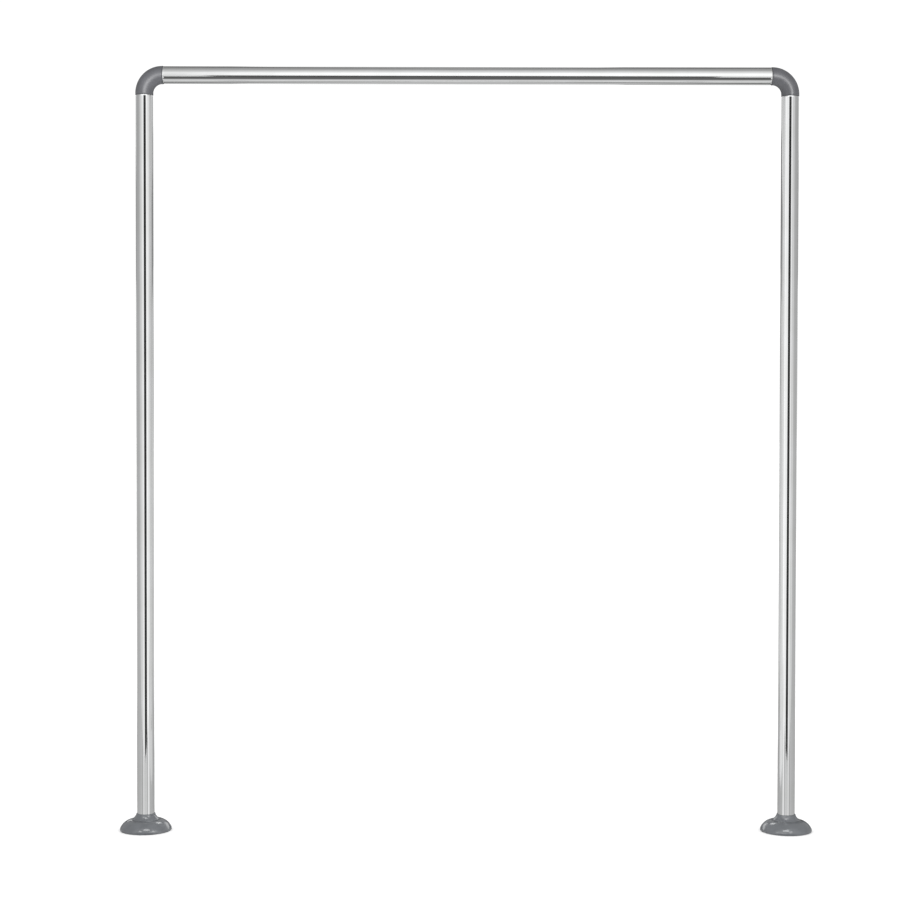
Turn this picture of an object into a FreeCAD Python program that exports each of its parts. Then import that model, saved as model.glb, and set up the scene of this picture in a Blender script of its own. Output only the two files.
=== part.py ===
import FreeCAD, Part
import math
import os
import Sketcher

# Upright inverted-U rail: two tube legs and a top tube, joined by two moulded
# right-angle elbows, each leg standing in a round base plate under a domed
# flange cover that slides up the leg to uncover the fixing holes.
# Millimetres. Z is up, X runs across the rail, the base plates stand on Z = 0.

os.makedirs("parts", exist_ok=True)

doc = FreeCAD.newDocument("rail")
sheet = doc.addObject("Spreadsheet::Sheet", "Dimensions")

# name, value: numbers are millimetres, degrees or counts; "=" cells follow others
CELLS = [
    # overall
    ("leg_spacing", "818"),
    ("bar_height", "960"),
    # tubes
    ("tube_od", "22"),
    ("tube_wall", "1.2"),
    ("tube_edge", "0.25"),
    ("tube_round", "0.7"),
    ("tube_outer", "=tube_od / 2"),
    ("tube_inner", "=tube_outer - tube_wall"),
    ("tube_outer_edge", "=tube_outer - tube_round"),
    ("tube_inner_edge", "=tube_inner + tube_edge"),
    # elbows
    ("bend_radius", "23"),
    ("bend_outer", "11.3"),
    ("bar_lip_outer", "11.5"),
    ("bar_lip_length", "0.9"),
    ("bar_reach", "=bend_radius + bar_lip_length"),
    ("leg_lip_outer", "11.45"),
    ("leg_lip_length", "2.4"),
    ("leg_reach", "=bend_radius + leg_lip_length"),
    ("lip_round", "0.25"),
    ("spigot_length", "30"),
    ("spigot_rib", "9.77"),
    ("spigot_root", "9.25"),
    ("spigot_bore", "6.6"),
    ("spigot_lead", "1.5"),
    ("bore_into_bend", "4"),
    # tube lengths
    ("plate_thickness", "3"),
    ("leg_length", "=bar_height - leg_reach - plate_thickness"),
    ("bar_length", "=leg_spacing - 2 * bar_reach"),
    ("leg_length_edge", "=leg_length - tube_edge"),
    ("bar_length_edge", "=bar_length - tube_edge"),
    ("leg_length_round", "=leg_length - tube_round"),
    ("bar_length_round", "=bar_length - tube_round"),
    # base plate
    ("plate_outer", "29.5"),
    ("plate_chamfer", "0.8"),
    ("plate_outer_edge", "=plate_outer - plate_chamfer"),
    ("plate_edge_height", "=plate_thickness - plate_chamfer"),
    ("cup_outer", "15.5"),
    ("cup_height", "11.5"),
    ("cup_edge", "0.6"),
    ("cup_outer_edge", "=cup_outer - cup_edge"),
    ("cup_edge_height", "=cup_height - cup_edge"),
    ("cup_foot", "=cup_outer + 1"),
    ("cup_foot_height", "=plate_thickness + 1"),
    ("cup_bore", "11.05"),
    ("cup_bore_edge", "=cup_bore + cup_edge"),
    ("stub_outer", "9.74"),
    ("stub_height", "20"),
    ("stub_lead", "1"),
    ("stub_outer_lead", "=stub_outer - stub_lead / 2"),
    ("stub_lead_height", "=stub_height - stub_lead"),
    ("stub_bore", "7"),
    ("screw_circle", "22.5"),
    ("screw_hole", "2.4"),
    ("screw_sink", "4.7"),
    ("screw_hole_side", "=screw_circle + screw_hole"),
    ("screw_sink_side", "=screw_circle + screw_sink"),
    ("screw_sink_start", "=plate_thickness - screw_sink + screw_hole"),
    ("screw_cut_top", "=plate_thickness + 0.4"),
    ("screw_sink_top_side", "=screw_sink_side + 0.4"),
    ("screw_count", "3"),
    # grub screw
    ("grub_outer", "2.5"),
    ("grub_hole", "2.52"),
    ("grub_length", "5"),
    ("grub_height", "7.5"),
    ("grub_end", "0.4"),
    ("grub_tip", "1.5"),
    ("grub_outer_edge", "=grub_outer - grub_end"),
    ("grub_length_edge", "=grub_length - grub_end"),
    ("grub_tip_start", "=grub_outer - grub_tip"),
    ("grub_key", "1.4434"),
    ("grub_key_depth", "2.6"),
    # flange cover
    ("cover_lift", "0.4"),
    ("cover_outer", "32.6"),
    ("cover_inner", "30.7"),
    ("rim_height", "2.4"),
    ("rim_edge", "0.4"),
    ("cover_outer_edge", "=cover_outer - rim_edge"),
    ("dome_radius", "18"),
    ("dome_inner_radius", "16"),
    ("dome_top", "18.9"),
    ("dome_height", "13.3"),
    ("groove_far", "18.4"),
    ("groove_near", "17.2"),
    ("groove_floor", "12.6"),
    ("dome_inner_top", "18.6"),
    ("ceiling_height", "11.6"),
    ("ring_outer", "16.9"),
    ("ring_height", "14.2"),
    ("collar_foot", "15.6"),
    ("collar_foot_height", "14.6"),
    ("collar_top", "11.9"),
    ("collar_height", "21.3"),
    ("collar_round", "0.3"),
    ("collar_top_edge", "=collar_top - collar_round"),
    ("collar_height_edge", "=collar_height - collar_round"),
    ("collar_bore", "11.1"),
    ("collar_bore_edge", "=collar_bore + 0.2"),
    ("collar_bore_low", "18.8"),
    ("collar_relief", "11.6"),
    ("collar_relief_height", "17.4"),
    ("collar_inside", "14.4"),
    ("collar_inside_height", "12.3"),
    ("collar_skirt", "15.2"),
    ("rib_count", "6"),
    ("rib_thickness", "1.2"),
    ("rib_low", "4.6"),
    ("rib_near", "17"),
    ("rib_far", "28.6"),
    ("rib_far_height", "6.6"),
    ("rib_mid", "24"),
    ("rib_mid_height", "10.8"),
    ("rib_top", "19"),
    ("rib_top_height", "12.3"),
]
for row, (name, value) in enumerate(CELLS, start=1):
    sheet.set("A%d" % row, name)
    sheet.set("B%d" % row, value)
    sheet.setAlias("B%d" % row, name)
doc.recompute()


def size(name):
    """The present value of a named dimension."""
    sign = 1.0
    if name.startswith("-"):
        sign, name = -1.0, name[1:]
    return sign * float(sheet.get(name))


def linked(name):
    """The expression that follows a named dimension."""
    if name.startswith("-"):
        return "-Dimensions." + name[1:]
    return "Dimensions." + name


def new_body(label):
    body = doc.addObject("PartDesign::Body", label)
    body.Label = label
    return body


def origin_of(body, role):
    for feature in body.Origin.OriginFeatures:
        if feature.Role == role:
            return feature
    raise RuntimeError("no " + role)


def new_sketch(body, name, plane, offset=None):
    """A sketch on one of the body's own planes, moved along its normal."""
    sketch = body.newObject("Sketcher::SketchObject", name)
    sketch.AttachmentSupport = [(origin_of(body, plane), "")]
    sketch.MapMode = "FlatFace"
    if offset is not None:
        sketch.AttachmentOffset = FreeCAD.Placement(
            FreeCAD.Vector(0, 0, size(offset)), FreeCAD.Rotation()
        )
        sketch.setExpression("AttachmentOffset.Base.z", linked(offset))
    return sketch


def pin_point(sketch, geometry, end, x_name, y_name):
    """Hold one point of a sketch at named distances from the origin."""
    for kind, name in (("DistanceX", x_name), ("DistanceY", y_name)):
        if name == "0":
            axis = -2 if kind == "DistanceX" else -1
            sketch.addConstraint(
                Sketcher.Constraint("PointOnObject", geometry, end, axis)
            )
        else:
            at = sketch.addConstraint(
                Sketcher.Constraint(kind, -1, 1, geometry, end, size(name))
            )
            sketch.setExpression("Constraints[%d]" % at, linked(name))


def number(name):
    return 0.0 if name == "0" else size(name)


def outline(sketch, corners):
    """A closed outline through named corners. A corner is (x, y) names, or
    (x, y, radius name, side) where an arc runs from it to the next corner."""
    points = [FreeCAD.Vector(number(c[0]), number(c[1]), 0) for c in corners]
    many = len(corners)
    ends = []
    for i, corner in enumerate(corners):
        a, b = points[i], points[(i + 1) % many]
        if len(corner) == 2:
            g = sketch.addGeometry(Part.LineSegment(a, b), False)
            ends.append((g, 1, 2))
        else:
            radius, side = size(corner[2]), corner[3]
            chord = b.sub(a)
            half = chord.Length / 2
            normal = FreeCAD.Vector(-chord.y, chord.x, 0).normalize()
            height = math.sqrt(radius * radius - half * half)
            mid = a.add(b).multiply(0.5)
            centre = mid.add(FreeCAD.Vector(normal).multiply(side * height))
            first = math.atan2(a.y - centre.y, a.x - centre.x)
            last = math.atan2(b.y - centre.y, b.x - centre.x)
            turn = (last - first) % (2 * math.pi)
            circle = Part.Circle(centre, FreeCAD.Vector(0, 0, 1), radius)
            if turn <= math.pi:
                g = sketch.addGeometry(Part.ArcOfCircle(circle, first, first + turn), False)
                ends.append((g, 1, 2))
            else:
                back = 2 * math.pi - turn
                g = sketch.addGeometry(Part.ArcOfCircle(circle, last, last + back), False)
                ends.append((g, 2, 1))
            at = sketch.addConstraint(Sketcher.Constraint("Radius", g, radius))
            sketch.setExpression("Constraints[%d]" % at, linked(corner[2]))
    for i in range(many):
        g, _start, stop = ends[i]
        n, start, _stop = ends[(i + 1) % many]
        sketch.addConstraint(Sketcher.Constraint("Coincident", g, stop, n, start))
    for i, corner in enumerate(corners):
        g, start, _stop = ends[i]
        pin_point(sketch, g, start, corner[0], corner[1])


def disc(sketch, radius, x_name="0", y_name="0"):
    """A circle of a named radius at named distances from the origin."""
    centre = FreeCAD.Vector(number(x_name), number(y_name), 0)
    g = sketch.addGeometry(
        Part.Circle(centre, FreeCAD.Vector(0, 0, 1), size(radius)), False
    )
    at = sketch.addConstraint(Sketcher.Constraint("Radius", g, size(radius)))
    sketch.setExpression("Constraints[%d]" % at, linked(radius))
    pin_point(sketch, g, 3, x_name, y_name)


def axis_line(sketch, x_name):
    """An upright construction line at a named distance from the origin."""
    x = number(x_name)
    g = sketch.addGeometry(
        Part.LineSegment(FreeCAD.Vector(x, -20, 0), FreeCAD.Vector(x, 20, 0)), True
    )
    sketch.addConstraint(Sketcher.Constraint("Vertical", g))
    at = sketch.addConstraint(Sketcher.Constraint("DistanceX", -1, 1, g, 1, x))
    sketch.setExpression("Constraints[%d]" % at, linked(x_name))
    sketch.addConstraint(Sketcher.Constraint("DistanceY", -1, 1, g, 1, -20.0))
    sketch.addConstraint(Sketcher.Constraint("DistanceY", -1, 1, g, 2, 20.0))


def turned(body, kind, name, sketch, axis="V_Axis", angle=360.0, backwards=False):
    """Turn a sketch about one of its axes, adding or cutting."""
    feature = body.newObject("PartDesign::" + kind, name)
    feature.Profile = sketch
    feature.ReferenceAxis = (sketch, [axis])
    feature.Angle = angle
    feature.Reversed = backwards
    sketch.Visibility = False
    return feature


def volume(body):
    doc.recompute()
    return body.Shape.Volume


def around(body, name, originals, count):
    """Repeat features round the body's own upright axis."""
    pattern = body.newObject("PartDesign::PolarPattern", name)
    pattern.Originals = originals
    pattern.Axis = (origin_of(body, "Z_Axis"), [""])
    pattern.Angle = 360.0
    pattern.Occurrences = int(size(count))
    pattern.setExpression("Occurrences", linked(count))
    body.Tip = pattern
    return pattern


def place(body, x, y, z, rotation=None):
    """Put a body at named distances; "0" is the frame's own origin."""
    body.Placement = FreeCAD.Placement(
        FreeCAD.Vector(number(x[0]) * x[1], number(y[0]) * y[1], number(z[0]) * z[1]),
        rotation or FreeCAD.Rotation(),
    )
    for axis, (name, factor) in zip("xyz", (x, y, z)):
        if name != "0":
            body.setExpression(
                "Placement.Base." + axis, "%s * %s" % (linked(name), factor)
            )


# ---------------------------------------------------------------- tubes
def tube(label, length, length_edge, length_round):
    body = new_body(label)
    sketch = new_sketch(body, label + "_section", "XZ_Plane")
    outline(
        sketch,
        [
            ("tube_inner", "tube_edge"),
            ("tube_inner_edge", "0"),
            ("tube_outer_edge", "0", "tube_round", 1),
            ("tube_outer", "tube_round"),
            ("tube_outer", length_round, "tube_round", 1),
            ("tube_outer_edge", length),
            ("tube_inner_edge", length),
            ("tube_inner", length_edge),
        ],
    )
    turned(body, "Revolution", label + "_turned", sketch)
    return body


# ---------------------------------------------------------------- elbows
def spigot_corners(end):
    """Half section of a lip and its ribbed spigot, from the bend's end face
    outwards. The spigot enters the tube; its ribs grip the bore."""
    rows = [
        ("0", "bend_radius"),
        ("bend_outer", "bend_radius"),
        (end + "_lip_outer", "lip_start"),
        (end + "_lip_outer", end + "_lip_stop"),
        (end + "_lip_outer_edge", end + "_reach"),
        ("spigot_root", end + "_reach"),
    ]
    for n in range(4):
        rows += [
            ("spigot_root", "%s_rib_%d_a" % (end, n)),
            ("spigot_rib", "%s_rib_%d_b" % (end, n)),
            ("spigot_rib", "%s_rib_%d_c" % (end, n)),
            ("spigot_root", "%s_rib_%d_d" % (end, n)),
        ]
    rows += [
        ("spigot_root", end + "_spigot_lead"),
        ("spigot_tip", end + "_spigot_end"),
        ("0", end + "_spigot_end"),
    ]
    if end == "bar":
        return [(d, r) for r, d in rows]
    return [(r, "-" + d) for r, d in rows]


extra = [
    ("lip_start", "=bend_radius + lip_round"),
    ("spigot_tip", "=spigot_root - 0.8"),
    ("bore_bottom", "=bend_radius - bore_into_bend"),
    ("bore_cone", "=bore_bottom - 3"),
]
for end in ("leg", "bar"):
    extra += [
        (end + "_lip_stop", "=%s_reach - lip_round" % end),
        (end + "_lip_outer_edge", "=%s_lip_outer - lip_round" % end),
        (end + "_spigot_end", "=%s_reach + spigot_length" % end),
        (end + "_spigot_lead", "=%s_spigot_end - spigot_lead" % end),
        (end + "_bore_open", "=%s_spigot_end + 1" % end),
    ]
    for n in range(4):
        rib = "%s_rib_%d_" % (end, n)
        extra += [
            (rib + "a", "=%s_reach + %g" % (end, 3.0 + 6.4 * n)),
            (rib + "b", "=%sa + 0.5" % rib),
            (rib + "c", "=%sb + 1.6" % rib),
            (rib + "d", "=%sc + 1.2" % rib),
        ]
for row, (name, value) in enumerate(extra, start=len(CELLS) + 1):
    sheet.set("A%d" % row, name)
    sheet.set("B%d" % row, value)
    sheet.setAlias("B%d" % row, name)
doc.recompute()


def elbow(label):
    """A quarter bend between a lip and spigot pointing down and another
    pointing along +X; the two tube axes meet at the body's origin."""
    body = new_body(label)
    section = new_sketch(body, label + "_bend_section", "XY_Plane", "-bend_radius")
    disc(section, "bend_outer")
    axis_line(section, "bend_radius")
    bend = turned(body, "Revolution", label + "_bend", section, "Axis0", 90.0)
    doc.recompute()
    if body.Shape.BoundBox.ZMax < 0:
        bend.Reversed = True
    down = new_sketch(body, label + "_leg_spigot_section", "XZ_Plane")
    outline(down, spigot_corners("leg"))
    turned(body, "Revolution", label + "_leg_spigot", down)
    side = new_sketch(body, label + "_bar_spigot_section", "XZ_Plane")
    outline(side, spigot_corners("bar"))
    turned(body, "Revolution", label + "_bar_spigot", side, "H_Axis")
    for which, axis in (("leg", "V_Axis"), ("bar", "H_Axis")):
        cut = new_sketch(body, label + "_" + which + "_bore_section", "XZ_Plane")
        rows = [
            ("0", which + "_bore_open"),
            ("spigot_bore", which + "_bore_open"),
            ("spigot_bore", "bore_bottom"),
            ("0", "bore_cone"),
        ]
        if which == "leg":
            outline(cut, [(r, "-" + d) for r, d in rows])
        else:
            outline(cut, [(d, r) for r, d in rows])
        turned(body, "Groove", label + "_" + which + "_bore", cut, axis)
    return body


# ---------------------------------------------------------------- base plates
def base_plate(label):
    """A round plate with a cup for the leg, a stub inside the leg, three
    countersunk fixing holes and a cross hole for the grub screw."""
    body = new_body(label)
    section = new_sketch(body, label + "_section", "XZ_Plane")
    outline(
        section,
        [
            ("0", "0"),
            ("plate_outer", "0"),
            ("plate_outer", "plate_edge_height"),
            ("plate_outer_edge", "plate_thickness"),
            ("cup_foot", "plate_thickness"),
            ("cup_outer", "cup_foot_height"),
            ("cup_outer", "cup_edge_height"),
            ("cup_outer_edge", "cup_height"),
            ("cup_bore_edge", "cup_height"),
            ("cup_bore", "cup_edge_height"),
            ("cup_bore", "plate_thickness"),
            ("stub_outer", "plate_thickness"),
            ("stub_outer", "stub_lead_height"),
            ("stub_outer_lead", "stub_height"),
            ("stub_bore", "stub_height"),
            ("stub_bore", "plate_thickness"),
            ("0", "plate_thickness"),
        ],
    )
    turned(body, "Revolution", label + "_turned", section)
    hole = new_sketch(body, label + "_fixing_section", "XZ_Plane")
    outline(
        hole,
        [
            ("screw_circle", "-screw_below"),
            ("screw_hole_side", "-screw_below"),
            ("screw_hole_side", "screw_sink_start"),
            ("screw_sink_side", "plate_thickness"),
            ("screw_sink_side", "screw_cut_top"),
            ("screw_circle", "screw_cut_top"),
        ],
    )
    axis_line(hole, "screw_circle")
    cut = turned(body, "Groove", label + "_fixing_hole", hole, "Axis0")
    around(body, label + "_fixing_holes", [cut], "screw_count")
    cross = new_sketch(body, label + "_grub_section", "YZ_Plane", "-grub_far")
    disc(cross, "grub_hole", "0", "grub_height")
    before = volume(body)
    pocket = body.newObject("PartDesign::Pocket", label + "_grub_hole")
    pocket.Profile = cross
    pocket.Length = size("grub_cut")
    pocket.setExpression("Length", linked("grub_cut"))
    body.Tip = pocket
    if before - volume(body) < 10:
        pocket.Reversed = True
    if before - volume(body) < 10:
        raise RuntimeError("the grub hole cuts nothing")
    cross.Visibility = False
    return body


# ---------------------------------------------------------------- grub screws
def grub_screw(label):
    """A headless screw with its tip at the origin and its key socket above."""
    body = new_body(label)
    section = new_sketch(body, label + "_section", "XZ_Plane")
    outline(
        section,
        [
            ("0", "0"),
            ("grub_tip_start", "0"),
            ("grub_outer", "grub_tip"),
            ("grub_outer", "grub_length_edge"),
            ("grub_outer_edge", "grub_length"),
            ("0", "grub_length"),
        ],
    )
    turned(body, "Revolution", label + "_turned", section)
    key = new_sketch(body, label + "_key_section", "XY_Plane", "grub_length")
    radius = size("grub_key")
    corners = [
        FreeCAD.Vector(
            radius * math.cos(math.radians(60 * k)),
            radius * math.sin(math.radians(60 * k)),
            0,
        )
        for k in range(6)
    ]
    for k in range(6):
        key.addGeometry(Part.LineSegment(corners[k], corners[(k + 1) % 6]), False)
    ring = key.addGeometry(
        Part.Circle(FreeCAD.Vector(), FreeCAD.Vector(0, 0, 1), radius), True
    )
    for k in range(6):
        key.addConstraint(Sketcher.Constraint("Coincident", k, 2, (k + 1) % 6, 1))
        key.addConstraint(Sketcher.Constraint("PointOnObject", k, 1, ring))
        if k:
            key.addConstraint(Sketcher.Constraint("Equal", 0, k))
    key.addConstraint(Sketcher.Constraint("Coincident", ring, 3, -1, 1))
    key.addConstraint(Sketcher.Constraint("PointOnObject", 0, 1, -1))
    at = key.addConstraint(Sketcher.Constraint("Radius", ring, radius))
    key.setExpression("Constraints[%d]" % at, linked("grub_key"))
    before = volume(body)
    pocket = body.newObject("PartDesign::Pocket", label + "_key")
    pocket.Profile = key
    pocket.Length = size("grub_key_depth")
    pocket.setExpression("Length", linked("grub_key_depth"))
    if before - volume(body) < 5:
        pocket.Reversed = True
    if before - volume(body) < 5:
        raise RuntimeError("the key socket cuts nothing")
    key.Visibility = False
    return body


# ---------------------------------------------------------------- flange covers
def flange_cover(label):
    """A domed shell with a flared collar that runs on the leg, ribbed inside."""
    body = new_body(label)
    section = new_sketch(body, label + "_section", "XZ_Plane")
    outline(
        section,
        [
            ("cover_inner", "0"),
            ("cover_outer_edge", "0"),
            ("cover_outer", "rim_edge"),
            ("cover_outer", "rim_height", "dome_radius", 1),
            ("dome_top", "dome_height"),
            ("groove_far", "groove_floor"),
            ("groove_near", "groove_floor"),
            ("ring_outer", "ring_height"),
            ("collar_foot", "collar_foot_height", "collar_flare", -1),
            ("collar_top", "collar_height_edge"),
            ("collar_top_edge", "collar_height"),
            ("collar_bore_edge", "collar_height"),
            ("collar_bore", "collar_height_edge"),
            ("collar_bore", "collar_bore_low"),
            ("collar_relief", "collar_relief_height"),
            ("collar_inside", "collar_inside_height"),
            ("collar_skirt", "ceiling_height"),
            ("dome_inner_top", "ceiling_height", "dome_inner_radius", -1),
            ("cover_inner", "rim_height"),
        ],
    )
    turned(body, "Revolution", label + "_turned", section)
    rib = new_sketch(body, label + "_rib_section", "XZ_Plane")
    outline(
        rib,
        [
            ("rib_near", "rib_low"),
            ("rib_far", "rib_low"),
            ("rib_far", "rib_far_height"),
            ("rib_mid", "rib_mid_height"),
            ("rib_top", "rib_top_height"),
            ("rib_near", "rib_top_height"),
        ],
    )
    web = body.newObject("PartDesign::Pad", label + "_rib")
    web.Profile = rib
    web.Length = size("rib_thickness")
    web.setExpression("Length", linked("rib_thickness"))
    web.Midplane = True
    rib.Visibility = False
    body.Tip = web
    around(body, label + "_ribs", [web], "rib_count")
    return body


more = [
    ("screw_below", "1"),
    ("grub_far", "=cup_outer + 1"),
    ("grub_cut", "=grub_far - cup_bore + 0.5"),
    ("collar_flare", "24"),
]
for row, (name, value) in enumerate(more, start=len(CELLS) + len(extra) + 1):
    sheet.set("A%d" % row, name)
    sheet.set("B%d" % row, value)
    sheet.setAlias("B%d" % row, name)
doc.recompute()

X, Y, Z = (FreeCAD.Vector(1, 0, 0), FreeCAD.Vector(0, 1, 0), FreeCAD.Vector(0, 0, 1))
NONE = ("0", 1)

parts = []
for side, sign in (("left", -0.5), ("right", 0.5)):
    across = ("leg_spacing", sign)
    leg = tube(side + "_leg_tube", "leg_length", "leg_length_edge", "leg_length_round")
    place(leg, across, NONE, ("plate_thickness", 1))
    bend = elbow(side + "_elbow")
    turn = FreeCAD.Rotation(Z, 0 if sign < 0 else 180)
    place(bend, across, NONE, ("bar_height", 1), turn)
    plate = base_plate(side + "_base_plate")
    place(plate, across, NONE, NONE, FreeCAD.Rotation(Z, 90))
    grub = grub_screw(side + "_grub_screw")
    place(grub, across, ("tube_outer", -1), ("grub_height", 1), FreeCAD.Rotation(X, 90))
    cover = flange_cover(side + "_flange_cover")
    place(cover, across, NONE, ("cover_lift", 1))
    parts += [leg, bend, plate, grub, cover]
bar = tube("top_tube", "bar_length", "bar_length_edge", "bar_length_round")
place(bar, ("bar_length", -0.5), NONE, ("bar_height", 1), FreeCAD.Rotation(Y, 90))
parts.append(bar)

doc.recompute()
for thing in doc.Objects:
    if "Invalid" in thing.State or "Error" in thing.State:
        raise RuntimeError("%s: %s" % (thing.Name, thing.State))
for body in parts:
    shape = body.Shape
    if shape.isNull() or not shape.isValid() or len(shape.Solids) != 1:
        raise RuntimeError("%s has no sound solid" % body.Label)
for body in parts:
    body.Shape.exportStep(os.path.join("parts", body.Label + ".step"))
    box = body.Shape.BoundBox
    print(
        "%-20s %8.1f mm3  x %.2f..%.2f  y %.2f..%.2f  z %.2f..%.2f"
        % (body.Label, body.Shape.Volume, box.XMin, box.XMax, box.YMin, box.YMax, box.ZMin, box.ZMax)
    )
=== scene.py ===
import math

import bmesh
import bpy
from mathutils import Matrix, Vector


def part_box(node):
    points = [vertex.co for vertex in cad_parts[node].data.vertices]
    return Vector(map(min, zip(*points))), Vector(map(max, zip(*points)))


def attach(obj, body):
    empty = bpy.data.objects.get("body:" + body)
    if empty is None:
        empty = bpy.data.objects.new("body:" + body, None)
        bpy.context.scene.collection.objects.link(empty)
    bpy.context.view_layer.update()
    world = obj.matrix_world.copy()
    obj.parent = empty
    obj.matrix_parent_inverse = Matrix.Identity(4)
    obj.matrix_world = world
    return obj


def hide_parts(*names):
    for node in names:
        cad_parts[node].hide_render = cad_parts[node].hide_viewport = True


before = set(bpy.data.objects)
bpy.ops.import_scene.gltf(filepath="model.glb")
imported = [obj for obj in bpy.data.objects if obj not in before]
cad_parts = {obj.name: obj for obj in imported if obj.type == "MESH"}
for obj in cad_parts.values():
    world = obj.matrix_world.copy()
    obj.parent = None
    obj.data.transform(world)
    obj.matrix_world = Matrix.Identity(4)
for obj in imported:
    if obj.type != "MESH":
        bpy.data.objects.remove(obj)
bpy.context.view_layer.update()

MM = 0.001

# ------------------------------------------------------------------ places
leg_low, leg_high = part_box("left_leg_tube")
right_low, right_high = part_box("right_leg_tube")
bar_low, bar_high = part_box("top_tube")
LEG_X = {
    "left": (leg_low.x + leg_high.x) / 2,
    "right": (right_low.x + right_high.x) / 2,
}
LEG_FOOT, LEG_TOP = leg_low.z, leg_high.z
BAR_Z = (bar_low.z + bar_high.z) / 2
BAR_A, BAR_B = bar_low.x, bar_high.x
COVER_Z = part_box("left_flange_cover")[0].z
TUBE_R = 11.0 * MM
BORE_R = 9.8 * MM
LEG_REACH = BAR_Z - LEG_TOP      # from the axes' corner to an elbow's end faces
BAR_REACH = BAR_A - LEG_X["left"]
BEND_R = 23 * MM


# ------------------------------------------------------------------ mesh tools
def rounded(points, radii, steps=5):
    """A closed outline with its corners rounded. radii has one value a corner."""
    out = []
    many = len(points)
    for i in range(many):
        p = Vector(points[i])
        radius = radii[i]
        a, b = Vector(points[i - 1]), Vector(points[(i + 1) % many])
        if radius <= 0:
            out.append((p.x, p.y))
            continue
        u, v = (a - p), (b - p)
        lu, lv = u.length, v.length
        u.normalize()
        v.normalize()
        angle = u.angle(v)
        if angle > math.radians(176):
            out.append((p.x, p.y))
            continue
        cut = min(radius / math.tan(angle / 2), lu * 0.49, lv * 0.49)
        r = cut * math.tan(angle / 2)
        start, stop = p + u * cut, p + v * cut
        middle = p + (u + v).normalized() * (r / math.sin(angle / 2))
        d0, d1 = start - middle, stop - middle
        a0 = math.atan2(d0.y, d0.x)
        turn = (math.atan2(d1.y, d1.x) - a0 + math.pi) % (2 * math.pi) - math.pi
        for k in range(steps + 1):
            t = a0 + turn * k / steps
            out.append((middle.x + r * math.cos(t), middle.y + r * math.sin(t)))
    return out


def arc_points(a, b, radius, side, steps):
    """Points from a to b along an arc, ends left out."""
    a, b = Vector(a), Vector(b)
    chord = b - a
    n = Vector((-chord.y, chord.x)).normalized() * side
    centre = (a + b) / 2 + n * math.sqrt(radius * radius - (chord.length / 2) ** 2)
    a0 = math.atan2(a.y - centre.y, a.x - centre.x)
    turn = (math.atan2(b.y - centre.y, b.x - centre.x) - a0 + math.pi) % (2 * math.pi) - math.pi
    return [
        (centre.x + radius * math.cos(a0 + turn * k / steps),
         centre.y + radius * math.sin(a0 + turn * k / steps))
        for k in range(1, steps)
    ]


def mesh_object(name, verts, faces):
    mesh = bpy.data.meshes.new(name)
    mesh.from_pydata([tuple(v) for v in verts], [], faces)
    bm = bmesh.new()
    bm.from_mesh(mesh)
    bmesh.ops.remove_doubles(bm, verts=bm.verts, dist=1e-7)
    bmesh.ops.recalc_face_normals(bm, faces=bm.faces)
    bm.to_mesh(mesh)
    bm.free()
    for polygon in mesh.polygons:
        polygon.use_smooth = True
    obj = bpy.data.objects.new(name, mesh)
    bpy.context.scene.collection.objects.link(obj)
    return obj


def rings_mesh(name, rings, segments, closed=False):
    """Skin a list of rings. A ring is (centre, side axis, other axis, radius);
    a radius of 0 is a single point."""
    verts, starts = [], []
    for centre, u, v, radius in rings:
        starts.append((len(verts), radius <= 0))
        if radius <= 0:
            verts.append(Vector(centre))
            continue
        for k in range(segments):
            t = 2 * math.pi * k / segments
            verts.append(Vector(centre) + Vector(u) * (radius * math.cos(t)) + Vector(v) * (radius * math.sin(t)))
    faces = []
    pairs = list(zip(starts[:-1], starts[1:]))
    if closed:
        pairs.append((starts[-1], starts[0]))
    for (a, point_a), (b, point_b) in pairs:
        for k in range(segments):
            n = (k + 1) % segments
            if point_a and point_b:
                continue
            if point_a:
                faces.append((a, b + k, b + n))
            elif point_b:
                faces.append((a + k, a + n, b))
            else:
                faces.append((a + k, a + n, b + n, b + k))
    return mesh_object(name, verts, faces)


def lathe(name, outline, base, along, side, segments=96, stretch=None):
    """Turn a closed outline of (radius, height) round an axis."""
    along, side = Vector(along).normalized(), Vector(side).normalized()
    other = along.cross(side)
    rings = [
        (Vector(base) + along * h, side, other, max(r, 0.0)) for r, h in outline
    ]
    return rings_mesh(name, rings, segments, closed=True)


def add_weighted(obj):
    modifier = obj.modifiers.new("weighted", "WEIGHTED_NORMAL")
    modifier.keep_sharp = True
    modifier.weight = 60
    return obj


# ------------------------------------------------------------------ materials
def new_material(name):
    material = bpy.data.materials.new(name)
    material.use_nodes = True
    nodes, links = material.node_tree.nodes, material.node_tree.links
    nodes.clear()
    out = nodes.new("ShaderNodeOutputMaterial")
    shader = nodes.new("ShaderNodeBsdfPrincipled")
    links.new(shader.outputs["BSDF"], out.inputs["Surface"])
    return material, nodes, links, shader


def node(nodes, kind, **values):
    made = nodes.new(kind)
    for key, value in values.items():
        if key in made.inputs:
            made.inputs[key].default_value = value
        else:
            setattr(made, key, value)
    return made


def noise(nodes, links, vector, scale, detail=3.0, rough=0.5, stretch=(1, 1, 1)):
    mapping = nodes.new("ShaderNodeMapping")
    mapping.inputs["Scale"].default_value = stretch
    links.new(vector, mapping.inputs["Vector"])
    texture = nodes.new("ShaderNodeTexNoise")
    texture.inputs["Scale"].default_value = scale
    texture.inputs["Detail"].default_value = detail
    texture.inputs["Roughness"].default_value = rough
    links.new(mapping.outputs["Vector"], texture.inputs["Vector"])
    return texture.outputs["Fac"]


def spread(nodes, links, value, a, b, low=0.3, high=0.7):
    made = nodes.new("ShaderNodeMapRange")
    made.inputs["From Min"].default_value = low
    made.inputs["From Max"].default_value = high
    made.inputs["To Min"].default_value = a
    made.inputs["To Max"].default_value = b
    links.new(value, made.inputs["Value"])
    return made.outputs["Result"]


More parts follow.
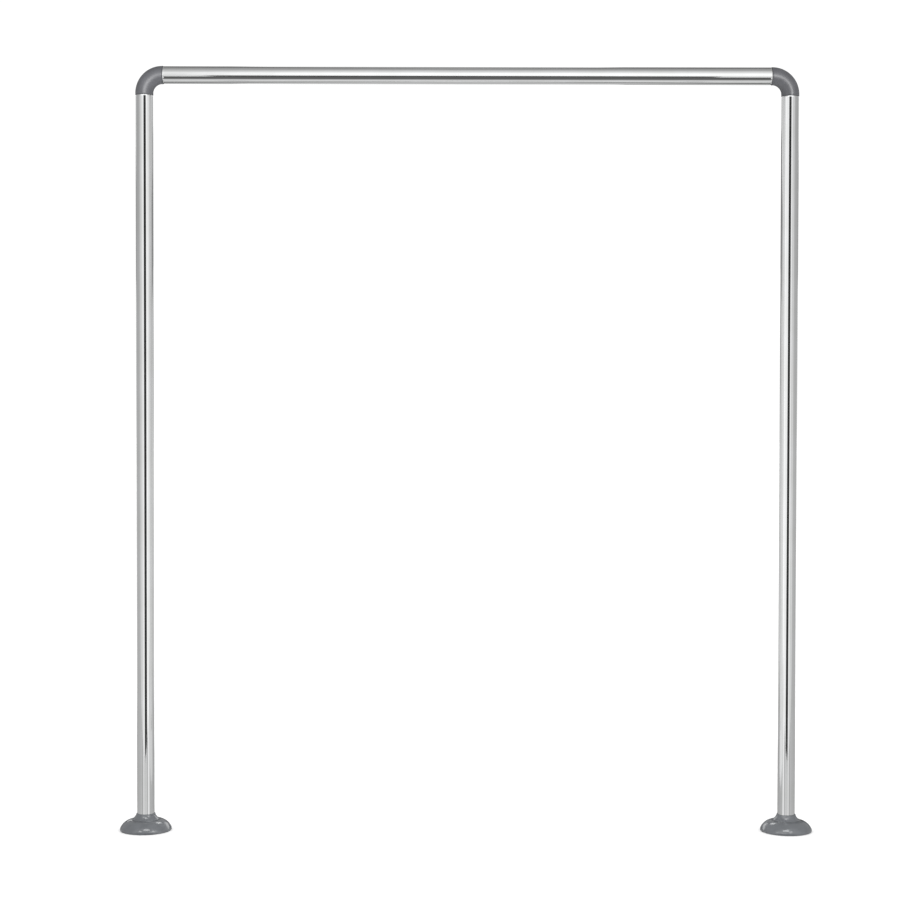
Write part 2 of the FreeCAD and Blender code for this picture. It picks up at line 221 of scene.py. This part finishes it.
def blend(nodes, links, value, first, second, low=0.3, high=0.7):
    ramp = nodes.new("ShaderNodeValToRGB")
    ramp.color_ramp.elements[0].position = low
    ramp.color_ramp.elements[0].color = (*first, 1)
    ramp.color_ramp.elements[1].position = high
    ramp.color_ramp.elements[1].color = (*second, 1)
    links.new(value, ramp.inputs["Fac"])
    return ramp.outputs["Color"]


def bump(nodes, links, height, distance, strength=1.0, before=None):
    made = nodes.new("ShaderNodeBump")
    made.inputs["Strength"].default_value = strength
    made.inputs["Distance"].default_value = distance
    links.new(height, made.inputs["Height"])
    if before is not None:
        links.new(before, made.inputs["Normal"])
    return made.outputs["Normal"]


def chrome(name, along):
    """Polished plated tube: bright, with faint polishing lines along it."""
    material, nodes, links, shader = new_material(name)
    where = nodes.new("ShaderNodeTexCoord").outputs["Object"]
    # lines run along the tube, so the noise is drawn out in that direction
    drawn = {"X": (0.012, 1, 1), "Z": (1, 1, 0.012)}[along]
    lines = noise(nodes, links, where, 1400, 4, 0.6, drawn)
    wide = noise(nodes, links, where, 160, 2, 0.5, tuple(0.08 if s < 1 else 1 for s in drawn))
    haze = noise(nodes, links, where, 22, 4, 0.6)
    shader.inputs["Metallic"].default_value = 1.0
    links.new(
        blend(nodes, links, haze, (0.565, 0.57, 0.565), (0.60, 0.605, 0.61)),
        shader.inputs["Base Color"],
    )
    both = nodes.new("ShaderNodeMath")
    both.operation = "ADD"
    links.new(spread(nodes, links, haze, 0.035, 0.065), both.inputs[0])
    links.new(spread(nodes, links, lines, -0.01, 0.02), both.inputs[1])
    links.new(both.outputs[0], shader.inputs["Roughness"])
    first = bump(nodes, links, wide, 0.000004, 0.35)
    links.new(bump(nodes, links, lines, 0.000001, 0.25, first), shader.inputs["Normal"])
    return material


def moulded(name, dark, light, rough, shine):
    """Grey moulded plastic: fine tool texture, slight flow mottling."""
    material, nodes, links, shader = new_material(name)
    where = nodes.new("ShaderNodeTexCoord").outputs["Object"]
    grain = noise(nodes, links, where, 2600, 3, 0.6)
    flow = noise(nodes, links, where, 45, 4, 0.55)
    speck = noise(nodes, links, where, 900, 2, 0.5)
    tone = nodes.new("ShaderNodeMath")
    tone.operation = "MULTIPLY_ADD"
    tone.inputs[1].default_value = 0.3
    links.new(speck, tone.inputs[0])
    links.new(flow, tone.inputs[2])
    links.new(blend(nodes, links, tone.outputs[0], dark, light, 0.45, 0.85), shader.inputs["Base Color"])
    links.new(spread(nodes, links, flow, rough - 0.03, rough + 0.04), shader.inputs["Roughness"])
    shader.inputs["IOR"].default_value = 1.5
    shader.inputs["Specular IOR Level"].default_value = shine
    first = bump(nodes, links, flow, 0.00012, 0.07)
    links.new(bump(nodes, links, grain, 0.000012, 0.22, first), shader.inputs["Normal"])
    return material


def cast_metal(name):
    """Die-cast plate: pale, dull, finely blasted, with darker hollows."""
    material, nodes, links, shader = new_material(name)
    where = nodes.new("ShaderNodeTexCoord").outputs["Object"]
    grain = noise(nodes, links, where, 1500, 4, 0.65)
    stain = noise(nodes, links, where, 70, 4, 0.6)
    shader.inputs["Metallic"].default_value = 1.0
    links.new(blend(nodes, links, stain, (0.42, 0.42, 0.43), (0.58, 0.58, 0.59)), shader.inputs["Base Color"])
    links.new(spread(nodes, links, stain, 0.42, 0.55), shader.inputs["Roughness"])
    first = bump(nodes, links, stain, 0.0001, 0.25)
    links.new(bump(nodes, links, grain, 0.00003, 0.5, first), shader.inputs["Normal"])
    return material


def screw_metal(name):
    """Blackened screw steel with a slightly worn, oily surface."""
    material, nodes, links, shader = new_material(name)
    where = nodes.new("ShaderNodeTexCoord").outputs["Object"]
    wear = noise(nodes, links, where, 700, 4, 0.6)
    shader.inputs["Metallic"].default_value = 1.0
    links.new(blend(nodes, links, wear, (0.09, 0.09, 0.095), (0.2, 0.2, 0.2)), shader.inputs["Base Color"])
    links.new(spread(nodes, links, wear, 0.28, 0.45), shader.inputs["Roughness"])
    links.new(bump(nodes, links, wear, 0.00003, 0.4), shader.inputs["Normal"])
    return material


CHROME_Z = chrome("chrome_upright", "Z")
CHROME_X = chrome("chrome_across", "X")
ELBOW_GREY = moulded("elbow_grey", (0.052, 0.053, 0.058), (0.070, 0.071, 0.079), 0.40, 0.5)
COVER_GREY = moulded("cover_grey", (0.112, 0.118, 0.127), (0.142, 0.150, 0.160), 0.15, 0.5)
CAST = cast_metal("cast_plate")
SCREW = screw_metal("screw_steel")


def dress(obj, material):
    obj.data.materials.clear()
    obj.data.materials.append(material)
    return obj


# ------------------------------------------------------------------ tubes
def tube(name, base, along, side, length, material, node_name):
    corners = [(BORE_R, 0), (TUBE_R, 0), (TUBE_R, length), (BORE_R, length)]
    small, large = 0.2 * MM, 0.9 * MM
    outline = rounded(corners, [small, large, large, small], 8)
    # the last 2.4 mm is drawn in a little, where it meets an elbow
    outline = [
        (r - 0.30 * MM * max(0.0, (abs(z - length / 2) - length / 2 + 2.4 * MM) / (2.4 * MM)) ** 2
         if r > BORE_R + 0.3 * MM else r, z)
        for r, z in outline
    ]
    # rings along the walls keep the long faces from being slivers
    full = []
    for i, p in enumerate(outline):
        q = outline[(i + 1) % len(outline)]
        full.append(p)
        run = abs(q[1] - p[1])
        if run > 0.1:
            many = int(run / 0.05)
            outer = p[0] > BORE_R + 0.5 * MM
            steps = [k / many for k in range(1, many)]
            if outer:
                near = [2.4 * MM * k / 8 / run for k in range(1, 9)]
                steps = sorted(steps + near + [1 - v for v in near])
            for k in steps:
                z = p[1] + (q[1] - p[1]) * k
                r = p[0] + (q[0] - p[0]) * k
                if outer:
                    past = max(0.0, (abs(z - length / 2) - length / 2 + 2.4 * MM) / (2.4 * MM))
                    r = TUBE_R - 0.30 * MM * past ** 2
                full.append((r, z))
    obj = lathe(name, full, base, along, side, 128)
    add_weighted(obj)
    dress(obj, material)
    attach(obj, "rail")
    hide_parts(node_name)
    return obj


legs = {}
for which in ("left", "right"):
    legs[which] = tube(
        which + "_leg", (LEG_X[which], 0, LEG_FOOT), (0, 0, 1), (0, -1, 0),
        LEG_TOP - LEG_FOOT, CHROME_Z, which + "_leg_tube",
    )
bar = tube(
    "top_bar", (BAR_A, 0, BAR_Z), (1, 0, 0), (0, -1, 0), BAR_B - BAR_A,
    CHROME_X, "top_tube",
)


# ------------------------------------------------------------------ elbows
def elbow(which):
    """One moulding skinned from rings: up the leg spigot, round the bend and
    out along the bar spigot, then back through the bores."""
    sign = 1 if which == "left" else -1
    corner = Vector((LEG_X[which], 0, BAR_Z))
    inward, down = Vector((sign, 0, 0)), Vector((0, 0, -1))
    y_axis = Vector((0, sign, 0))
    centre = corner + inward * BEND_R + down * BEND_R
    length = BEND_R * math.pi / 2

    def place(run):
        """Point and forward direction at a run from the bend's leg end."""
        if run <= 0:
            return corner + down * (BEND_R - run), -down
        if run >= length:
            return corner + inward * (BEND_R + run - length), inward
        t = run / BEND_R
        radial = -inward * math.cos(t) - down * math.sin(t)
        return centre + radial * BEND_R, inward * math.sin(t) - down * math.cos(t)

    def spigot(reach, lip):
        """(distance past the bend's end, radius) from the bore outwards."""
        past = reach - BEND_R
        rows = [(-7 * MM, 0), (-4 * MM, 6.6 * MM)]
        rows += [(past + d * MM, 6.6 * MM) for d in (4, 12, 20, 29.6)]
        rows += [(past + 30 * MM, 6.9 * MM), (past + 30 * MM, 8.3 * MM), (past + 29.6 * MM, 8.45 * MM),
                 (past + 28.5 * MM, 9.25 * MM)]
        for n in (3, 2, 1, 0):
            a = past + (3.0 + 6.4 * n) * MM
            rows += [(a + 3.3 * MM, 9.25 * MM), (a + 2.15 * MM, 9.74 * MM), (a + 2.0 * MM, 9.77 * MM),
                     (a + 0.6 * MM, 9.77 * MM), (a + 0.45 * MM, 9.74 * MM), (a, 9.25 * MM)]
        rows += [(past + 0.15 * MM, 9.25 * MM), (past, 9.4 * MM), (past, 10.3 * MM)]
        rows += [(past, lip - 0.4 * MM)]
        for k in range(1, 7):
            t = math.radians(15 * k)
            rows.append((past - 0.4 * MM * (1 - math.cos(t)), lip - 0.4 * MM * (1 - math.sin(t))))
        return rows

    def lip_back(reach, lip):
        """From the lip's crest back down to the bend."""
        past = reach - BEND_R
        rows = []
        flat = past - 0.75 * MM
        for k in range(0, 7):
            t = k / 6
            ease = t * t * (3 - 2 * t)
            rows.append((flat - 0.35 * MM * t, lip - (lip - 11.18 * MM) * ease))
        for k in range(1, 4):
            t = k / 3
            rows.append((flat - (0.35 + 0.35 * t) * MM, 11.18 * MM + 0.1 * MM * t * t * (3 - 2 * t)))
        return rows

    leg_lip, bar_lip = 11.38 * MM, 11.5 * MM
    path = [(-d, r) for d, r in spigot(LEG_REACH, leg_lip) + lip_back(LEG_REACH, leg_lip)]
    start = path[-1][0]
    end_rows = [(length + d, r) for d, r in spigot(BAR_REACH, bar_lip) + lip_back(BAR_REACH, bar_lip)]
    stop = end_rows[-1][0]
    steps = 56
    for k in range(1, steps):
        path.append((start + (stop - start) * k / steps, 11.3 * MM))
    path += list(reversed(end_rows))
    rings = []
    for run, radius in path:
        point, forward = place(run)
        rings.append((point, y_axis, y_axis.cross(forward), radius))
    obj = rings_mesh(which + "_elbow_moulding", rings, 96)
    add_weighted(obj)
    dress(obj, ELBOW_GREY)
    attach(obj, "rail")
    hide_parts(which + "_elbow")
    return obj


elbows = {which: elbow(which) for which in ("left", "right")}


# ------------------------------------------------------------------ covers
def cover(which):
    corners, radii = [], []

    def add(r, h, radius=0.0):
        corners.append((r * MM, h * MM))
        radii.append(radius * MM)

    add(30.7, 0.0, 0.2)
    add(32.3, 0.0, 0.3)
    add(32.6, 0.45, 0.5)
    add(32.6, 2.4, 2.2)
    for r, h in arc_points((32.6, 2.4), (18.95, 13.3), 18.0, 1, 26):
        add(r, h)
    add(18.75, 13.30, 0.45)     # crest of the dome
    add(18.35, 12.60, 0.15)     # floor of the groove
    add(17.20, 12.60, 0.20)
    add(16.85, 14.20, 0.45)     # crest of the inner ring
    add(16.30, 14.55, 0.20)
    for r, h in arc_points((16.25, 14.6), (11.95, 20.9), 12.0, -1, 14):
        add(r, h)
    add(11.90, 21.3, 0.40)
    add(11.25, 21.3, 0.20)
    add(11.1, 18.8, 0.3)
    add(11.6, 17.4, 0.3)
    add(14.4, 12.3, 0.8)
    add(15.2, 11.6, 0.4)
    for r, h in [(18.6, 11.6)] + arc_points((18.6, 11.6), (30.7, 2.4), 16.0, -1, 14):
        add(r, h)
    add(30.7, 2.4, 0.0)
    outline = rounded(corners, radii, 5)
    obj = lathe(
        which + "_cover_shell", outline, (LEG_X[which], 0, COVER_Z), (0, 0, 1), (0, -1, 0), 144
    )
    # the six webs inside
    bm = bmesh.new()
    bm.from_mesh(obj.data)
    web = [(17, 4.6), (28.6, 4.6), (28.6, 6.6), (24, 10.8), (19, 12.3), (17, 12.3)]
    for n in range(6):
        t = math.radians(60 * n)
        radial = Vector((math.cos(t), math.sin(t), 0))
        across = Vector((-math.sin(t), math.cos(t), 0))
        base = Vector((LEG_X[which], 0, COVER_Z))
        fronts, backs = [], []
        for r, h in web:
            p = base + radial * (r * MM) + Vector((0, 0, h * MM))
            fronts.append(bm.verts.new(p + across * 0.6 * MM))
            backs.append(bm.verts.new(p - across * 0.6 * MM))
        bm.faces.new(fronts)
        bm.faces.new(list(reversed(backs)))
        for k in range(len(web)):
            m = (k + 1) % len(web)
            bm.faces.new((fronts[k], backs[k], backs[m], fronts[m]))
    bmesh.ops.recalc_face_normals(bm, faces=bm.faces)
    bm.to_mesh(obj.data)
    bm.free()
    add_weighted(obj)
    dress(obj, COVER_GREY)
    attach(obj, which + "_cover")
    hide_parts(which + "_flange_cover")
    return obj


covers = {which: cover(which) for which in ("left", "right")}

# ------------------------------------------------------------------ CAD nodes that stay
for which in ("left", "right"):
    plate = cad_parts[which + "_base_plate"]
    dress(plate, CAST)
    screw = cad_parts[which + "_grub_screw"]
    dress(screw, SCREW)

# ------------------------------------------------------------------ studio
floor_material, nodes, links, shader = new_material("pale_floor")
where = nodes.new("ShaderNodeTexCoord").outputs["Object"]
cloud = noise(nodes, links, where, 3, 3, 0.5)
links.new(blend(nodes, links, cloud, (0.80, 0.80, 0.80), (0.82, 0.82, 0.82)), shader.inputs["Base Color"])
shader.inputs["Roughness"].default_value = 0.9
floor = mesh_object(
    "pale_floor", [(-40, -40, 0), (40, -40, 0), (40, 40, 0), (-40, 40, 0)], [(0, 1, 2, 3)]
)
dress(floor, floor_material)
floor.visible_glossy = False
floor.visible_shadow = False

world = bpy.data.worlds.new("studio")
bpy.context.scene.world = world
world.use_nodes = True
nodes, links = world.node_tree.nodes, world.node_tree.links
nodes.clear()
out = nodes.new("ShaderNodeOutputWorld")
coordinates = nodes.new("ShaderNodeTexCoord")
split = nodes.new("ShaderNodeSeparateXYZ")
links.new(coordinates.outputs["Generated"], split.inputs[0])


def math_node(operation, a, b=None):
    made = nodes.new("ShaderNodeMath")
    made.operation = operation
    for i, value in enumerate((a, b)):
        if value is None:
            continue
        if isinstance(value, (int, float)):
            made.inputs[i].default_value = value
        else:
            links.new(value, made.inputs[i])
    return made.outputs[0]


def curve_node(value, low, high, stops):
    """A smooth run of values over low..high, as (place, value) stops."""
    place = nodes.new("ShaderNodeMapRange")
    place.inputs["From Min"].default_value = low
    place.inputs["From Max"].default_value = high
    links.new(value, place.inputs["Value"])
    ramp = nodes.new("ShaderNodeValToRGB")
    ramp.color_ramp.interpolation = "EASE"
    elements = ramp.color_ramp.elements
    while len(elements) < len(stops):
        elements.new(0.5)
    for element, (where_at, number) in zip(elements, stops):
        element.position = (where_at - low) / (high - low)
        element.color = (number, number, number, 1)
    links.new(place.outputs["Result"], ramp.inputs["Fac"])
    return ramp.outputs["Color"]


# The room as the pieces see it: mid grey at the back, brighter to the sides,
# a white floor below, a grey ceiling, and a dark opening in front.
front = math_node("MULTIPLY", split.outputs["Y"], -1.0)
around = curve_node(front, -1, 1, [(-1, 0.55), (-0.7, 0.62), (0, 0.70), (0.4, 0.74), (1, 0.76)])
height = curve_node(
    split.outputs["Z"], -1, 1,
    [(-1, 0.90), (-0.5, 0.86), (-0.23, 0.6), (-0.05, 0.6), (0.16, 0.52), (0.6, 0.46), (1, 0.44)],
)
level = math_node("MULTIPLY", math_node("MULTIPLY", around, height), 1.667)
behind = curve_node(front, -1, 1, [(-0.40, 1), (-0.02, 0)])
under = curve_node(split.outputs["Z"], -1, 1, [(-0.38, 1), (-0.18, 0)])
shade_under = math_node("MULTIPLY", math_node("MULTIPLY", behind, under), 0.22)
level = math_node("MULTIPLY", level, math_node("SUBTRACT", 1.0, shade_under))
side = math_node("ABSOLUTE", split.outputs["X"])
ratio = math_node("DIVIDE", side, math_node("MAXIMUM", front, 0.001))
gap_across = curve_node(ratio, 0, 2, [(0.65, 1), (1.0, 0)])
gap_up = curve_node(split.outputs["Z"], -1, 1, [(0.14, 1), (0.36, 0)])
gap_front = curve_node(front, 0, 1, [(0.22, 0), (0.62, 1)])
gap = math_node("MULTIPLY", math_node("MULTIPLY", gap_across, gap_up), gap_front)
depth = curve_node(split.outputs["Z"], -1, 1, [(-0.42, 0.84), (-0.26, 0.93)])
level = math_node("MULTIPLY", level, math_node("SUBTRACT", 1.0, math_node("MULTIPLY", gap, depth)))
# darker openings behind, so that the polished tubes have contrast from there
far = curve_node(front, -1, 1, [(-0.84, 1), (-0.70, 0)])
low_band = curve_node(split.outputs["Z"], -1, 1, [(-0.03, 0), (0.03, 1), (0.14, 1), (0.22, 0)])
level = math_node("MULTIPLY", level, math_node("SUBTRACT", 1.0, math_node("MULTIPLY", math_node("MULTIPLY", far, low_band), 0.72)))
aside = math_node("DIVIDE", side, math_node("MAXIMUM", math_node("MULTIPLY", front, -1.0), 0.001))
slot_behind = curve_node(aside, 0, 2, [(0.22, 0), (0.27, 1), (0.40, 1), (0.46, 0)])
level = math_node("MULTIPLY", level, math_node("SUBTRACT", 1.0, math_node("MULTIPLY", slot_behind, 0.78)))
room = nodes.new("ShaderNodeBackground")
links.new(level, room.inputs["Strength"])
room.inputs["Color"].default_value = (1, 1, 1, 1)
white = nodes.new("ShaderNodeBackground")
white.inputs["Color"].default_value = (1, 1, 1, 1)
white.inputs["Strength"].default_value = 1.05
path = nodes.new("ShaderNodeLightPath")
mix = nodes.new("ShaderNodeMixShader")
links.new(path.outputs["Is Camera Ray"], mix.inputs[0])
links.new(room.outputs[0], mix.inputs[1])
links.new(white.outputs[0], mix.inputs[2])
links.new(mix.outputs[0], out.inputs["Surface"])


def group(name, objects):
    collection = bpy.data.collections.new(name)
    for obj in objects:
        collection.objects.link(obj)
    return collection


BASES = [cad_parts[n + k] for n in ("left", "right") for k in ("_base_plate", "_grub_screw")]
MOULDINGS = list(elbows.values()) + list(covers.values())
for_floor = group("lit_floor", [floor])
for_left = group("lit_left", [legs["left"]])
for_right = group("lit_right", [legs["right"]])
for_bar = group("lit_bar", [bar])
for_rest = group("lit_rest", MOULDINGS + BASES)
for_covers = group("lit_covers", list(covers.values()) + BASES)
for_left_cover = group("lit_left_cover", [covers["left"]])
for_right_cover = group("lit_right_cover", [covers["right"]])
for_left_elbow = group("lit_left_elbow", [elbows["left"]])
for_right_elbow = group("lit_right_elbow", [elbows["right"]])


def panel(name, low, high, facing, radiance, receivers, stops=None, axis="X"):
    """A soft box between two corners, seen by the pieces it is meant for.
    stops gives its strength at places along its width, or its height."""
    low, high = Vector(low), Vector(high)
    facing = Vector(facing)
    size = high - low
    width = size.x if abs(facing.y) > 0.5 else size.y
    tall = size.z
    light = bpy.data.lights.new(name, "AREA")
    light.shape = "RECTANGLE"
    light.size, light.size_y = width, tall
    light.energy = radiance * width * tall * math.pi
    if stops:
        light.use_nodes = True
        tree = light.node_tree
        geometry = tree.nodes.new("ShaderNodeNewGeometry")
        parts = tree.nodes.new("ShaderNodeSeparateXYZ")
        tree.links.new(geometry.outputs["Parametric"], parts.inputs[0])
        shade = tree.nodes.new("ShaderNodeValToRGB")
        elements = shade.color_ramp.elements
        while len(elements) < len(stops):
            elements.new(0.5)
        start, run = (low.x, size.x) if axis == "X" else (low.z, size.z)
        for element, (place, strength) in zip(elements, stops):
            element.position = min(max((place - start) / run, 0.0), 1.0)
            element.color = (strength, strength, strength, 1)
        tree.links.new(parts.outputs[axis.replace("Z", "Y")], shade.inputs["Fac"])
        tree.links.new(shade.outputs["Color"], tree.nodes["Emission"].inputs["Color"])
    obj = bpy.data.objects.new(name, light)
    bpy.context.scene.collection.objects.link(obj)
    obj.location = (low + high) / 2
    obj.rotation_euler = facing.to_track_quat("-Z", "Y").to_euler()
    obj.visible_camera = False
    obj.light_linking.receiver_collection = receivers
    return obj


sun = bpy.data.lights.new("floor_light", "SUN")
sun.energy = 3.0
sun.angle = math.radians(120)
sun_object = bpy.data.objects.new("floor_light", sun)
bpy.context.scene.collection.objects.link(sun_object)
sun_object.light_linking.receiver_collection = for_floor

# the uprights: soft boxes with a narrow dark opening between them
D = -1.41
panel(
    "soft_left", (-3.6, D, -0.156), (3.0, D, 2.2), (0, 1, 0), 1.0, for_left,
    [(-3.6, 0.06), (-2.0, 0.20), (-1.59, 0.60), (-1.342, 1.00), (-0.908, 1.28), (-0.49, 1.40),
     (-0.44, 0.0), (0.31, 0.0), (0.36, 1.42), (0.60, 1.37), (0.85, 1.0), (1.13, 0.65),
     (2.19, 0.45), (3.0, 0.40)],
)
panel(
    "soft_right", (-3.0, D, -0.156), (3.6, D, 2.2), (0, 1, 0), 1.0, for_right,
    [(-3.0, 0.62), (-1.80, 0.72), (-0.93, 0.80), (-0.774, 1.00), (-0.50, 1.40), (-0.18, 1.40),
     (-0.13, 0.0), (0.58, 0.0), (0.63, 1.34), (0.80, 1.34), (1.05, 1.18), (1.53, 0.65), (2.31, 0.11),
     (3.6, 0.05)],
)
for receivers, x0, x1 in ((for_left, -0.50, 0.40), (for_right, -0.20, 0.65)):
    panel("soft_over", (x0, D, 1.50), (x1, D, 3.2), (0, 1, 0), 1.3, receivers)
panel("side_left", (3.0, -1.9, -0.6), (3.0, 1.2, 2.2), (-1, 0, 0), 0.30, for_left)
panel("side_right", (-3.0, -1.9, -0.6), (-3.0, 1.2, 2.2), (1, 0, 0), 0.50, for_right)
# below it the pale floor, with the soft boxes' legs as two thin lines
LOW = [(-2.4, 0.0), (-1.45, 0.05), (-1.15, 0.25), (-0.90, 0.62), (-0.62, 0.80), (-0.58, 1.15),
       (-0.30, 1.15), (-0.27, 0.88), (0.5, 0.92), (1.0, 0.62), (1.30, 0.42), (1.45, 0.80),
       (1.9, 0.80), (2.05, 0.28), (2.4, 0.22)]
for which, receivers, sign in (("left", for_left, 1), ("right", for_right, -1)):
    x = LEG_X[which]
    stops = [(x + sign * a, b) for a, b in LOW]
    panel(
        "low_" + which, (x - 2.4, D, -0.95), (x + 2.4, D, -0.156), (0, 1, 0), 1.0, receivers,
        sorted(stops),
    )
# the bar: a tall soft box, brightest level with the bar
UPRIGHT = [(0.62, 1.45), (0.84, 1.60), (1.17, 1.68), (1.34, 1.35), (1.53, 0.98), (1.98, 0.68),
           (2.70, 0.38), (4.28, 0.24), (4.6, 0.2)]
for x0, x1, strength in (
    (-2.6, -0.80, 1.0), (-0.80, -0.55, 0.74), (-0.55, -0.47, 0.84), (-0.47, -0.38, 0.93), (-0.38, 2.6, 1.0),
):
    panel("soft_bar", (x0, D, 0.62), (x1, D, 4.6), (0, 1, 0), strength, for_bar, UPRIGHT, "Z")
for x in (-0.72, 0.52):
    panel("soft_corner", (x, D, 0.24), (x + 0.20, D, 0.62), (0, 1, 0), 1.0, for_bar)
# what the bar's drawn-in ends face
for x in (-1.70, 0.80):
    panel("soft_end", (x, D, -0.60), (x + 0.90, D, 0.62), (0, 1, 0), 1.2, for_bar)

# and behind, soft boxes for the sides of the tubes turned away from the front
for receivers in (for_left, for_right, for_bar):
    for x0, x1 in ((-2.6, -1.3), (-0.50, 0.35), (1.1, 2.3)):
        panel("soft_behind", (x0, 1.7, 1.15), (x1, 1.7, 2.8), (0, -1, 0), 0.75, receivers)
        panel("soft_behind_low", (x0, 1.7, -0.2), (x1, 1.7, 0.85), (0, -1, 0), 0.55, receivers)

# the mouldings: a dimmer front box, a boom overhead, and two lamps beside the
# camera that give the small bright spots
panel("soft_front", (-2.6, D, 0.45), (2.6, D, 4.6), (0, 1, 0), 0.55, for_rest)


def lamp(name, centre, target, width, tall, radiance, receivers):
    """A small soft box turned to face a place."""
    light = bpy.data.lights.new(name, "AREA")
    light.shape = "RECTANGLE"
    light.size, light.size_y = width, tall
    light.energy = radiance * width * tall * math.pi
    obj = bpy.data.objects.new(name, light)
    bpy.context.scene.collection.objects.link(obj)
    obj.location = centre
    obj.rotation_euler = (Vector(target) - Vector(centre)).to_track_quat("-Z", "Y").to_euler()
    obj.visible_camera = False
    obj.light_linking.receiver_collection = receivers
    return obj


lamp("boom", (0.08, -2.08, 3.33), (0, 0, 0), 1.5, 1.0, 7.0, for_covers)
lamp("lamp_a", (-0.74, -0.87, 0.88), (-0.3, 0, 0), 0.26, 0.20, 7.0, for_covers)
lamp("lamp_c", (0.79, -1.18, 1.25), (0.2, 0, 0), 0.40, 0.30, 6.0, for_covers)
# low behind the covers, so that they only light them down on the base plates
panel("back_left", (-0.11, 1.0, 0.27), (0.86, 1.0, 0.64), (0, -1, 0), 1.9, for_left_cover)
panel("back_left_edge", (-0.84, 1.0, 0.21), (-0.57, 1.0, 0.37), (0, -1, 0), 1.4, for_left_cover)
panel("back_right", (-0.86, 1.0, 0.27), (0.11, 1.0, 0.64), (0, -1, 0), 1.9, for_right_cover)
lamp("back_lamp_left", (-0.14, 0.80, 0.84), (-0.41, 0, 0), 0.24, 0.20, 6.0, for_left_cover)
lamp("back_lamp_right", (0.14, 0.80, 0.84), (0.41, 0, 0), 0.24, 0.20, 6.0, for_right_cover)
lamp("fill_left", (1.5, -1.8, 1.3), (-0.4, 0, 0), 2.0, 2.0, 1.3, for_left_cover)
lamp("fill_right", (-0.9, -2.2, 1.5), (0.4, 0, 0), 2.0, 2.0, 1.4, for_right_cover)
lamp("lamp_left", (-0.05, -2.4, 0.95), (-0.41, 0, 0.95), 1.3, 1.3, 13.0, for_left_elbow)
lamp("lamp_right", (1.04, -2.4, 0.95), (0.41, 0, 0.95), 0.60, 0.90, 34.0, for_right_elbow)

# ------------------------------------------------------------------ camera
camera_data = bpy.data.cameras.new("camera")
camera = bpy.data.objects.new("camera", camera_data)
bpy.context.scene.collection.objects.link(camera)
camera_data.sensor_width = 36.0
camera_data.sensor_fit = "HORIZONTAL"
camera_data.lens = 1880.0 / 920.0 * 36.0
camera_data.clip_start, camera_data.clip_end = 0.05, 200.0
camera.location = (-0.0127, -2.391, 0.5305)
camera.rotation_mode = "XYZ"
camera.rotation_euler = (math.radians(90 - 1.3708), math.radians(-0.1033), math.radians(-0.0977))
bpy.context.scene.camera = camera

scene = bpy.context.scene
scene.view_settings.view_transform = "Standard"
scene.view_settings.look = "None"
scene.view_settings.exposure = 0.0
scene.view_settings.gamma = 1.0
